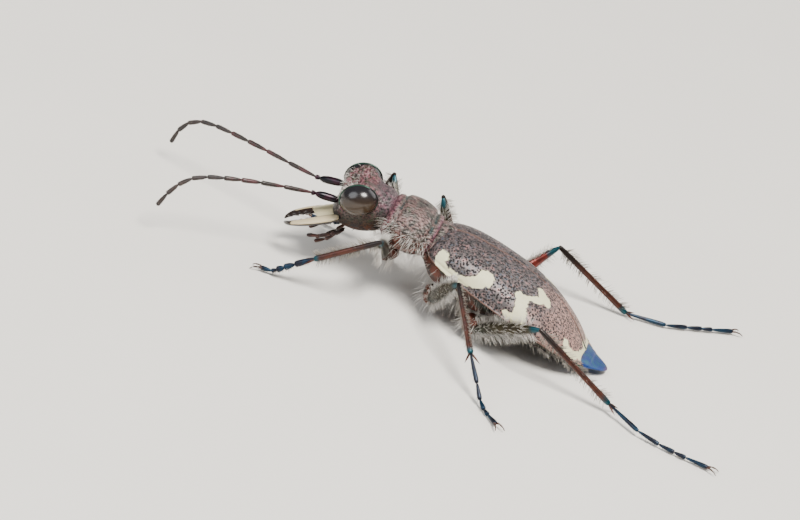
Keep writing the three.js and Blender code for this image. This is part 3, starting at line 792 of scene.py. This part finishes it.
def pronotum_detail(s, turn):
    """Two cross furrows, a faint middle line, a raised rim in front and behind, and side edges."""
    upper = max(0.0, math.sin(turn))
    furrow = -0.12 * bump(s, 0.16, 0.04) - 0.12 * bump(s, 0.84, 0.04)
    rims = 0.05 * bump(s, 0.03, 0.03) + 0.05 * bump(s, 0.96, 0.03)
    middle = -0.035 * bump(turn, math.pi / 2, 0.05) * bump(s, 0.5, 0.3)
    swell = 0.06 * bump(s, 0.5, 0.25) * bump(abs(turn - math.pi / 2), 0.75, 0.4)
    edge = 0.05 * (bump(turn, -0.06, 0.07) + bump(abs(turn), math.pi - 0.06, 0.07))
    return (furrow + rims) * (0.4 + 0.6 * upper) + middle + swell + edge


def abdomen_detail(s, turn):
    """Seven belly plates, each a little wider at its rear edge."""
    place = (s * 7) % 1.0
    return 0.06 * (place - 0.5) * fullness(s, (8, 3))


def build_trunk(finishes):
    """Prothorax, thorax and abdomen, and the small pieces between them and the wing cases."""
    skins = {
        "prothorax": body_skin(PROTHORAX, FORE, pronotum_detail),
        "thorax": body_skin(THORAX, BODY),
        "abdomen": body_skin(ABDOMEN, BODY, abdomen_detail),
    }
    front = shaped(skins["prothorax"], 160, 140)
    finished(front, "pronotum_and_sides", "prothorax", finishes["pronotum"])
    middle = shaped(skins["thorax"], 96, 64)
    finished(middle, "thorax_plates", "thorax", finishes["flank"])
    rear = shaped(skins["abdomen"], 96, 140)
    finished(rear, "abdomen_plates", "abdomen", finishes["belly"])
    build_scutellum(finishes["pronotum"])
    build_collar(finishes["pronotum"])
    return skins


def build_scutellum(material):
    """The small shield between the wing cases."""

    def at(s, turn):
        full = fullness(s, (5, 2))
        x = SCUTELLUM["long"] * s
        y = SCUTELLUM["half"] * (1 - s) ** 0.8 * full * math.cos(turn)
        level = SCUTELLUM["z"] - SCUTELLUM["thick"] * (1 - s)
        z = level + SCUTELLUM["thick"] * math.sin(turn) * full
        return placed(BODY, (x, y, z))

    finished(shaped(Skin(at), 32, 24), "scutellum_shield", None, material)


def build_collar(material):
    """The ring between pronotum and wing cases."""

    def at(s, turn):
        full = fullness(s, (3, 3))
        x = COLLAR["front"] + COLLAR["long"] * s
        y = (COLLAR["half"] + COLLAR["widening"] * s) * full * math.cos(turn)
        z = COLLAR["z"] + (COLLAR["tall"] + 0.08 * s) * full * math.sin(turn)
        return placed(BODY, (x, y, z))

    finished(shaped(Skin(at), 64, 32), "collar", None, material)


# Head

def head_detail(s, turn):
    """Brows along the eyes, a dish between them, a furrow across the face and a neck behind."""
    side = abs(turn - math.pi / 2)
    brow = 0.6 * plateau(s, 0.42, 0.26) * bump(side, 0.6, 0.3)
    dish = -0.04 * bump(s, 0.42, 0.2) * bump(side, 0.0, 0.25)
    face = 0.28 * bump(s, 0.17, 0.12) * bump(side, 0.0, 0.8)
    furrow = -0.06 * bump(s, 0.1, 0.03) * max(0.0, math.sin(turn))
    neck = -0.05 * bump(s, 0.8, 0.05)
    return brow + dish + face + furrow + neck


def build_head(finishes):
    """The head capsule with all that it bears but the feelers."""
    skin = body_skin(HEAD, HEAD_FRAME, head_detail)
    finished(shaped(skin, 140, 110), "head_capsule", "head", finishes["head"])
    for side, sign in SIDES.items():
        build_eye(side, sign, finishes)
        build_jaw(side, sign, finishes["jaw"])
        build_palps(side, sign, finishes["palp"])
    build_labrum(finishes["ivory"])
    return skin


def build_eye(side, sign, finishes):
    """A domed eye with a thin dark rim round it."""

    def at(s, turn):
        radial = math.sqrt(max(0.0, 1 - (2 * s - 1) ** 2))
        x = EYE["x"] + EYE["long"] * (2 * s - 1)
        y = -sign * EYE["y"] + EYE["wide"] * radial * math.cos(turn)
        z = EYE["z"] + EYE["tall"] * radial * math.sin(turn)
        return placed(HEAD_FRAME, (x, y, z))

    finished(shaped(Skin(at), 96, 64), f"eye_{side}_dome", f"eye_{side}", finishes["eye"])
    rim = added(
        bpy.ops.mesh.primitive_torus_add,
        major_segments=96, minor_segments=12, major_radius=1.0, minor_radius=EYE_RIM["thick"],
    )
    level = -sign * (EYE["y"] + EYE_RIM["out"])
    for vertex in rim.data.vertices:
        x, y, z = vertex.co
        point = (EYE["x"] + x * EYE["long"], level + z * 1.2, EYE["z"] + y * EYE["tall"])
        vertex.co = placed(HEAD_FRAME, point)
    facing_out(rim)
    rim.data.shade_smooth()
    finished(rim, f"eye_{side}_rim", None, finishes["rim"])


def build_labrum(material):
    """The ivory lip: a thin arched plate with three small teeth in front."""

    def at(s, turn):
        rear, front = LABRUM["rear"], LABRUM["front"]
        tooth = 0.0
        full = fullness(s, (2.4, 6))
        share = math.cos(turn)
        if s < 0.3:
            three = bump(share, 0.0, 0.14) + 0.8 * bump(abs(share), 0.42, 0.12)
            tooth = LABRUM_TOOTH * three * (1 - s / 0.3)
        x = front + (rear - front) * s - tooth
        y = LABRUM["half"] * full * share
        arch = -LABRUM["arch"] * (y / LABRUM["half"]) ** 2
        level = LABRUM["z"] + LABRUM["drop"] * (s - 0.6) + arch
        z = level + LABRUM["thick"] * full * math.sin(turn)
        return placed(HEAD_FRAME, (x, y, z))

    finished(shaped(Skin(at), 96, 48), "labrum_lip", "labrum", material)


def build_jaw(side, sign, material):
    """A sickle jaw, its inner edge toothed, ivory outside and black below, inside and at the tip."""
    base, bulge, tip = (Vector(JAW[key]) for key in ("base", "bulge", "tip"))
    root_z, tip_z = JAW_HEIGHTS[side]

    def at(s, turn):
        centre = base * (1 - s) ** 2 + bulge * 2 * s * (1 - s) + tip * s ** 2
        ahead = ((bulge - base) * (1 - s) + (tip - bulge) * s).normalized()
        across = Vector((-ahead.y, ahead.x))
        full = fullness(s, (4, 4))
        half = (JAW["root"] * (1 - s) ** 0.8 + JAW["point"]) * full
        inward = -math.cos(turn)
        reach = half * powered(inward, 0.8)
        if inward > 0:
            teeth = [size * max(0.0, 1 - abs(s - place) * 15) for place, size in JAW_TEETH]
            reach += sum(teeth) * inward ** 3
        spot = centre + across * reach
        thick = (JAW["thick"] * (1 - 0.65 * s)) * full * math.sin(turn)
        z = root_z + (tip_z - root_z) * s + thick
        return placed(HEAD_FRAME, (spot.x, -sign * spot.y, z))

    def black(s, turn):
        inner_edge = 0.5 - 1.3 * (math.cos(turn) + 0.25)
        under = 0.52 - 1.1 * math.sin(turn)
        return max(inner_edge, under, (s - 0.5) * 3)

    piece = shaped(Skin(at), 64, 110, black=black)
    facing_out(piece)
    finished(piece, f"mandible_{side}_sickle", f"mandible_{side}", material)


def build_palps(side, sign, material):
    """Two jointed palps below the jaw, each segment thicker toward its end."""
    for name, line in PALPS.items():
        stops = [HEAD_FRAME @ Vector((x, y * sign, z)) for x, y, z in line]
        pieces = []
        for start, end in zip(stops, stops[1:]):
            pieces.append(shaped(limb_skin(start, end, PALP_RADII), 20, 16))
        finished(joined(pieces), f"{name}_{side}_joints", f"{name}_{side}", material)


# Feelers

def curve_through(points):
    """Even steps on a smooth line through points, as a list of positions with the length so far."""
    steps = 60
    places = []
    for i in range(steps * (len(points) - 1) + 1):
        s = i / (steps * (len(points) - 1))
        places.append(Vector([along([p[axis] for p in points], s) for axis in range(3)]))
    lengths = [0.0]
    for a, b in zip(places, places[1:]):
        lengths.append(lengths[-1] + (b - a).length)
    return places, lengths


def at_share(places, lengths, share):
    """The point at a share of a curve's length."""
    want = share * lengths[-1]
    for i in range(1, len(places)):
        if lengths[i] >= want:
            part = (want - lengths[i - 1]) / max(lengths[i] - lengths[i - 1], 1e-9)
            return places[i - 1].lerp(places[i], part)
    return places[-1]


def build_feelers(finishes):
    """Eleven segments on each side, in the three nodes that they belong to."""
    skins = []
    nodes = {"scape": (0, 2), "flagellum_inner": (2, 6), "flagellum_outer": (6, 11)}
    for side in SIDES:
        places, lengths = curve_through(ANTENNA_LINES[side])
        whole = sum(ANTENNOMERES)
        stops = [
            at_share(places, lengths, sum(ANTENNOMERES[:i]) / whole)
            for i in range(len(ANTENNOMERES) + 1)
        ]
        stops[0] = stops[0] + (stops[0] - stops[1]).normalized() * SCAPE_ROOT
        for node, (first, last) in nodes.items():
            pieces = []
            for i in range(first, last):
                thick = ANTENNA_RADII[i]
                radii = [thick * 0.6, thick * 0.85, thick, thick * 1.05, thick * 1.15]
                if i == 0:
                    radii = [thick * 0.8, thick * 1.1, thick * 1.15, thick * 1.1, thick * 0.8]
                skin = limb_skin(stops[i], stops[i + 1], radii, blunt=5)
                skins.append((i, skin))
                pieces.append(shaped(skin, 24, 20))
            finished(joined(pieces), f"{node}_{side}_joints", f"{node}_{side}", finishes[node])
    return skins


# Legs

def heading(length, round_to, rise):
    """A step of a given length, turned round from +X and raised above the floor by degrees."""
    level = math.cos(math.radians(rise)) * length
    across = math.radians(round_to)
    height = math.sin(math.radians(rise)) * length
    return Vector((level * math.cos(across), level * math.sin(across), height))


def leg_points(pair, side):
    """Root, hip, knee, ankle and toe of a leg in the floor's frame."""
    sign = SIDES[side]
    sizes, pose = LEG_LENGTHS[pair], LEG_POSES[f"{pair}_{side}"]
    x, y, z = HIPS[pair]
    hip = STANCE @ Vector((x, y * sign, z))
    root = STANCE @ Vector((x + 0.12, (y + 0.3) * sign, z + 0.75))
    knee = hip + heading(sizes["femur"], *pose["femur"])
    ankle = knee + heading(sizes["tibia"], *pose["tibia"])
    drop = math.degrees(math.asin((SOLE_HEIGHT - ankle.z) / sizes["tarsus"]))
    toe = ankle + heading(sizes["tarsus"], pose["foot"], drop)
    return root, hip, knee, ankle, toe


def build_hip(name, root, hip, knee, material):
    """The hip's two joints; gives back the skin of the first."""
    coxa_end = hip + (hip - root).normalized() * 0.15
    coxa = limb_skin(root, coxa_end, COXA_RADII, blunt=2.4)
    trochanter = limb_skin(root.lerp(hip, 0.55), hip.lerp(knee, 0.16), TROCHANTER_RADII, blunt=2.2)
    pieces = [shaped(coxa, 32, 24), shaped(trochanter, 24, 18)]
    finished(joined(pieces), f"coxa_{name}_joint", f"coxa_{name}", material)
    return coxa


def build_thigh(name, hip, knee, radii, material):
    """A thigh, a little flat and a little bowed upward."""
    skin = limb_skin(hip.lerp(knee, 0.03), knee, radii, blunt=3, flat=0.85, bow=0.05)
    finished(shaped(skin, 32, 40), f"femur_{name}_shell", f"femur_{name}", material)
    return skin


def build_shin(name, knee, ankle, material):
    """A shin with two spurs at its end."""
    way = (ankle - knee).normalized()
    skin = limb_skin(knee - way * 0.06, ankle, TIBIA_RADII, blunt=6)
    pieces = [shaped(skin, 24, 40)]
    across = Vector((0, 0, 1)).cross(way).normalized()
    spread = SPUR["length"] * math.tan(math.radians(SPUR["spread"]))
    for edge in (-1, 1):
        tip = ankle + way * SPUR["length"] + across * edge * spread
        tip.z = max(tip.z, SPUR["lowest"])
        spur = limb_skin(ankle - way * 0.1, tip, SPUR["radii"], blunt=3)
        pieces.append(shaped(spur, 12, 12))
    finished(joined(pieces), f"tibia_{name}_shin", f"tibia_{name}", material)
    return skin


def build_foot(name, pair, ankle, toe, finishes):
    """Five joints on a curve that comes down to the floor, padded under a front foot, and the claws."""
    curve = FOOT_CURVES[pair]
    rest = ankle.lerp(toe, curve["heel"])
    rest.z = toe.z
    bend = ankle.lerp(rest, 0.5) - Vector((0, curve["bow"], 0))
    rest.y -= curve["bow"] * 0.7
    places, lengths = curve_through([ankle, bend, rest, toe])
    share, stops = 0.0, [ankle]
    for part in FOOT_SHARES:
        share += part
        stops.append(at_share(places, lengths, min(share, 1.0)))
    skins = []
    for i in range(len(FOOT_SHARES)):
        thick = PAD_THICK if pair == "front" and i < 3 else FOOT_THICK
        radii = [0.06, thick * 0.8, thick, thick * 1.12]
        skins.append(limb_skin(stops[i], stops[i + 1], radii, blunt=5))
    pieces = [shaped(skin, 16, 14) for skin in skins]
    finished(joined(pieces), f"tarsus_{name}_joints", f"tarsus_{name}", finishes["foot"])
    build_claws(name, stops[-2], toe, finishes["claw"])
    return skins


def build_claws(name, start, toe, material):
    """Two hooked claws at the end of a foot."""
    last = aimed(start, toe)
    reach = (toe - start).length
    pieces = []
    for way in (-1, 1):
        hooks = [last @ Vector((reach - 0.08 + a, b * way, c)) for a, b, c in CLAW_LINE]
        for j, radii in enumerate(CLAW_RADII):
            hook = limb_skin(hooks[j], hooks[j + 1], radii, blunt=4)
            pieces.append(shaped(hook, 10, 8))
    finished(joined(pieces), f"claws_{name}", None, material)


def build_leg(pair, side, finishes):
    """A leg from hip to claws; gives back the skins of it that bear hair."""
    name = f"{pair}_{side}"
    root, hip, knee, ankle, toe = leg_points(pair, side)
    thigh = "copper_thigh" if name == "hind_right" else "thigh"
    return {
        "coxa": build_hip(name, root, hip, knee, finishes["flank"]),
        "femur": build_thigh(name, hip, knee, FEMUR_RADII[pair], finishes[thigh]),
        "tibia": build_shin(name, knee, ankle, finishes["shin"]),
        "foot": build_foot(name, pair, ankle, toe, finishes),
    }


# Hairs

class Coat:
    """Many thin bent hairs gathered into one mesh, each with a small patch on the skin's unwrap."""

    def __init__(self, name, seed):
        self.name = name
        self.dice = random.Random(seed)
        self.points = []
        self.faces = []
        self.corners = []

    def hair(self, root, normal, way, length, thick, bend, uv):
        """One hair of three sides, sunk a little at its root and bent toward `bend`."""
        side = way.cross(normal)
        side = side.normalized() if side.length > 1e-6 else normal.orthogonal().normalized()
        other = way.cross(side).normalized()
        base = len(self.points)
        stops = ((-0.04, 1.0), (0.35, 0.85), (0.72, 0.55))
        for t, wide in stops:
            middle = root + way * length * t + bend * length * t * abs(t)
            for k in range(3):
                angle = k * 2 * math.pi / 3
                way_out = side * math.cos(angle) + other * math.sin(angle)
                self.points.append(middle + way_out * thick * wide)
        self.points.append(root + way * length + bend * length)
        made = [(base, base + 2, base + 1)]
        for ring in range(2):
            for k in range(3):
                a = base + ring * 3 + k
                b = base + ring * 3 + (k + 1) % 3
                made.append((a, b, b + 3, a + 3))
        for k in range(3):
            made.append((base + 6 + k, base + 6 + (k + 1) % 3, base + 9))
        self.faces.extend(made)
        for face in made:
            for vertex in face:
                across = PATCH * ((vertex - base) / 10 - 0.5)
                upward = PATCH * ((vertex - base) % 3 / 3 - 0.3)
                self.corners.append((uv[0] + across, uv[1] + upward))

    def grow(self, skin, row, first_turn, last_turn):
        """A row of hairs on a skin between two angles round it, save those that would reach the floor."""
        style = HAIRS[row]
        lean = style["lean"]
        thick = style["thick"] * MM
        droop = style.get("droop", 0.0)
        spread = style.get("spread", 0.25)
        for _ in range(style["count"]):
            s = self.dice.uniform(*style["run"])
            turn = self.dice.uniform(first_turn, last_turn)
            root = skin.at(s, turn)
            normal = skin.normal(s, turn)
            flow = skin.flow(s, turn)
            jitter = Vector([self.dice.gauss(0, spread) for _ in range(3)])
            way = (normal + flow * lean + jitter).normalized()
            bend = (flow * lean + Vector((0, 0, -1))) * droop * self.dice.uniform(0.4, 1.2)
            size = style["long"] * self.dice.uniform(0.65, 1.15) * MM
            if (root + (way + bend) * size).z < thick:
                continue
            self.hair(root, normal, way, size, thick, bend, skin.unwrap(s, turn))

    def build(self, material):
        """Makes the gathered hairs one piece."""
        mesh = bpy.data.meshes.new(self.name)
        mesh.from_pydata(self.points, [], self.faces)
        layer = mesh.uv_layers.new(name="OFBake")
        for i, uv in enumerate(self.corners):
            layer.data[i].uv = uv
        piece = bpy.data.objects.new(self.name, mesh)
        bpy.context.scene.collection.objects.link(piece)
        mesh.shade_smooth()
        return finished(piece, self.name, None, material)


def build_hairs(skins, finishes):
    """Five coats of hairs, each one piece."""
    white = finishes["white_hair"]
    half_turn = math.pi
    up, down = math.pi / 2, -math.pi / 2
    legs = Coat("leg_hairs", 11)
    bristles = Coat("shin_bristles", 12)
    for name, leg in skins["legs"].items():
        front = half_turn if name.endswith("left") else 0.0
        for edge in (up, down):
            legs.grow(leg["femur"], "thigh_edge", edge - 0.3, edge + 0.3)
            bristles.grow(leg["tibia"], "shin_edges", edge - 0.25, edge + 0.25)
        legs.grow(leg["femur"], "thigh_face", front - 1.3, front + 1.3)
        legs.grow(leg["coxa"], "hip", -half_turn, half_turn)
        bristles.grow(leg["tibia"], "shin", -half_turn, half_turn)
        for skin in leg["foot"]:
            bristles.grow(skin, "sole", -2.8, -0.3)
    legs.build(white)
    bristles.build(finishes["grey_hair"])

    trunk = Coat("body_hairs", 13)
    trunk.grow(skins["prothorax"], "chest", -2.7, -0.15)
    trunk.grow(skins["prothorax"], "hem", -0.3, 0.2)
    trunk.grow(skins["prothorax"], "hem", half_turn - 0.2, half_turn + 0.3)
    trunk.grow(skins["thorax"], "flanks", -half_turn + 0.05, -0.05)
    trunk.grow(skins["abdomen"], "belly", -half_turn + 0.1, -0.1)
    trunk.build(white)

    face = Coat("head_hairs", 14)
    for brow in (1.0, 2.14):
        face.grow(skins["head"], "brows", brow - 0.5, brow + 0.5)
    face.grow(skins["head"], "throat", -2.6, -0.4)
    face.build(white)

    whip = Coat("feeler_hairs", 15)
    for i, skin in skins["feelers"]:
        if i >= 2:
            whip.grow(skin, "whip" if i >= 4 else "whip_root", -half_turn, half_turn)
    whip.build(finishes["brown_hair"])


# Setting

def build_stage():
    """The floor that the model stands on."""
    floor = added(bpy.ops.mesh.primitive_plane_add, size=6.0)
    floor.name = "floor"
    floor.data.materials.append(floor_finish())


def build_camera():
    """The camera of the photo: azimuth, elevation and roll are degrees, distance and target millimetres."""
    a, e, r = (math.radians(CAMERA[key]) for key in ("azimuth", "elevation", "roll"))
    back = Vector((math.sin(a) * math.cos(e), -math.cos(a) * math.cos(e), math.sin(e)))
    level = Vector((math.cos(a), math.sin(a), 0))
    upright = back.cross(level)
    right = level * math.cos(r) + upright * math.sin(r)
    up = upright * math.cos(r) - level * math.sin(r)
    camera = bpy.data.objects.new("camera", bpy.data.cameras.new("camera"))
    camera.data.lens = CAMERA["lens"]
    camera.data.sensor_width = 36.0
    camera.data.clip_start = 0.01
    camera.data.clip_end = 20.0
    turn = Matrix((right, up, back)).transposed().to_4x4()
    turn.translation = (Vector(CAMERA["target"]) + SHIFT + back * CAMERA["distance"]) * MM
    camera.matrix_world = turn
    bpy.context.scene.collection.objects.link(camera)
    bpy.context.scene.camera = camera


def build_light():
    """Three round lamps and an even sky."""
    for name, lamp in LAMPS.items():
        light = bpy.data.lights.new(name, "AREA")
        light.shape = "DISK"
        light.size = lamp["wide"]
        light.energy = lamp["power"]
        light.color = lamp["colour"]
        holder = bpy.data.objects.new(name, light)
        way = Vector(lamp["way"]).normalized()
        turn = way.to_track_quat("Z", "Y").to_matrix().to_4x4()
        turn.translation = Vector(LAMP_TARGET) + way * LAMP_DISTANCE
        holder.matrix_world = turn
        bpy.context.scene.collection.objects.link(holder)
    world = bpy.data.worlds.new("studio")
    world.use_nodes = True
    sky = world.node_tree.nodes["Background"]
    sky.inputs["Color"].default_value = SKY["colour"]
    sky.inputs["Strength"].default_value = SKY["strength"]
    bpy.context.scene.world = world


def all_finishes():
    """Every material of the model by the name that the builders ask for."""
    return {
        "elytron": elytron_finish(),
        "pronotum": pronotum_finish(),
        "head": head_finish(),
        "flank": flank_finish(),
        "belly": belly_finish(),
        "rim": metal_finish("eye_rim_dark", NEAR_BLACK, (0.02, 0.06, 0.04)),
        "eye": eye_finish(),
        "ivory": ivory_finish(),
        "jaw": jaw_finish(),
        "thigh": limb_finish(
            "thigh_green", (0.008, 0.013, 0.006), (0.028, 0.022, 0.008), knee_from=0.88
        ),
        "copper_thigh": limb_finish(
            "thigh_copper", (0.20, 0.025, 0.022), (0.14, 0.02, 0.014), knee_from=0.82
        ),
        "shin": limb_finish(
            "shin_brown", (0.014, 0.008, 0.006), (0.065, 0.018, 0.010), knee_from=0.93
        ),
        "foot": metal_finish("foot_blue", (0.004, 0.024, 0.05), (0.008, 0.010, 0.02), size=0.5),
        "scape": metal_finish("scape_black", (0.006, 0.006, 0.009), (0.03, 0.009, 0.018), size=0.4),
        "flagellum_inner": metal_finish(
            "whip_inner", (0.018, 0.014, 0.012), (0.055, 0.018, 0.02),
            size=0.5, metallic=0.3, roughness=0.35,
        ),
        "flagellum_outer": metal_finish(
            "whip_outer", (0.016, 0.012, 0.012), (0.03, 0.019, 0.017),
            size=0.5, metallic=0.1, roughness=0.6,
        ),
        "claw": metal_finish(
            "claw_brown", (0.03, 0.012, 0.008), (0.06, 0.025, 0.015),
            size=0.3, metallic=0.2,
        ),
        "palp": metal_finish(
            "palp_brown", (0.02, 0.009, 0.007), (0.06, 0.02, 0.014),
            size=0.4, metallic=0.3, roughness=0.35,
        ),
        "white_hair": hair_finish("white_hair", (0.76, 0.72, 0.66)),
        "grey_hair": hair_finish("grey_hair", (0.36, 0.32, 0.27)),
        "brown_hair": hair_finish("brown_hair", (0.20, 0.15, 0.12)),
    }


def main():
    """Builds the model and its setting."""
    finishes = all_finishes()
    build_stage()
    for side in SIDES:
        build_elytron(side, finishes["elytron"])
    skins = build_trunk(finishes)
    skins["head"] = build_head(finishes)
    skins["feelers"] = build_feelers(finishes)
    skins["legs"] = {}
    for pair in HIPS:
        for side in SIDES:
            skins["legs"][f"{pair}_{side}"] = build_leg(pair, side, finishes)
    build_hairs(skins, finishes)
    build_camera()
    build_light()


main()
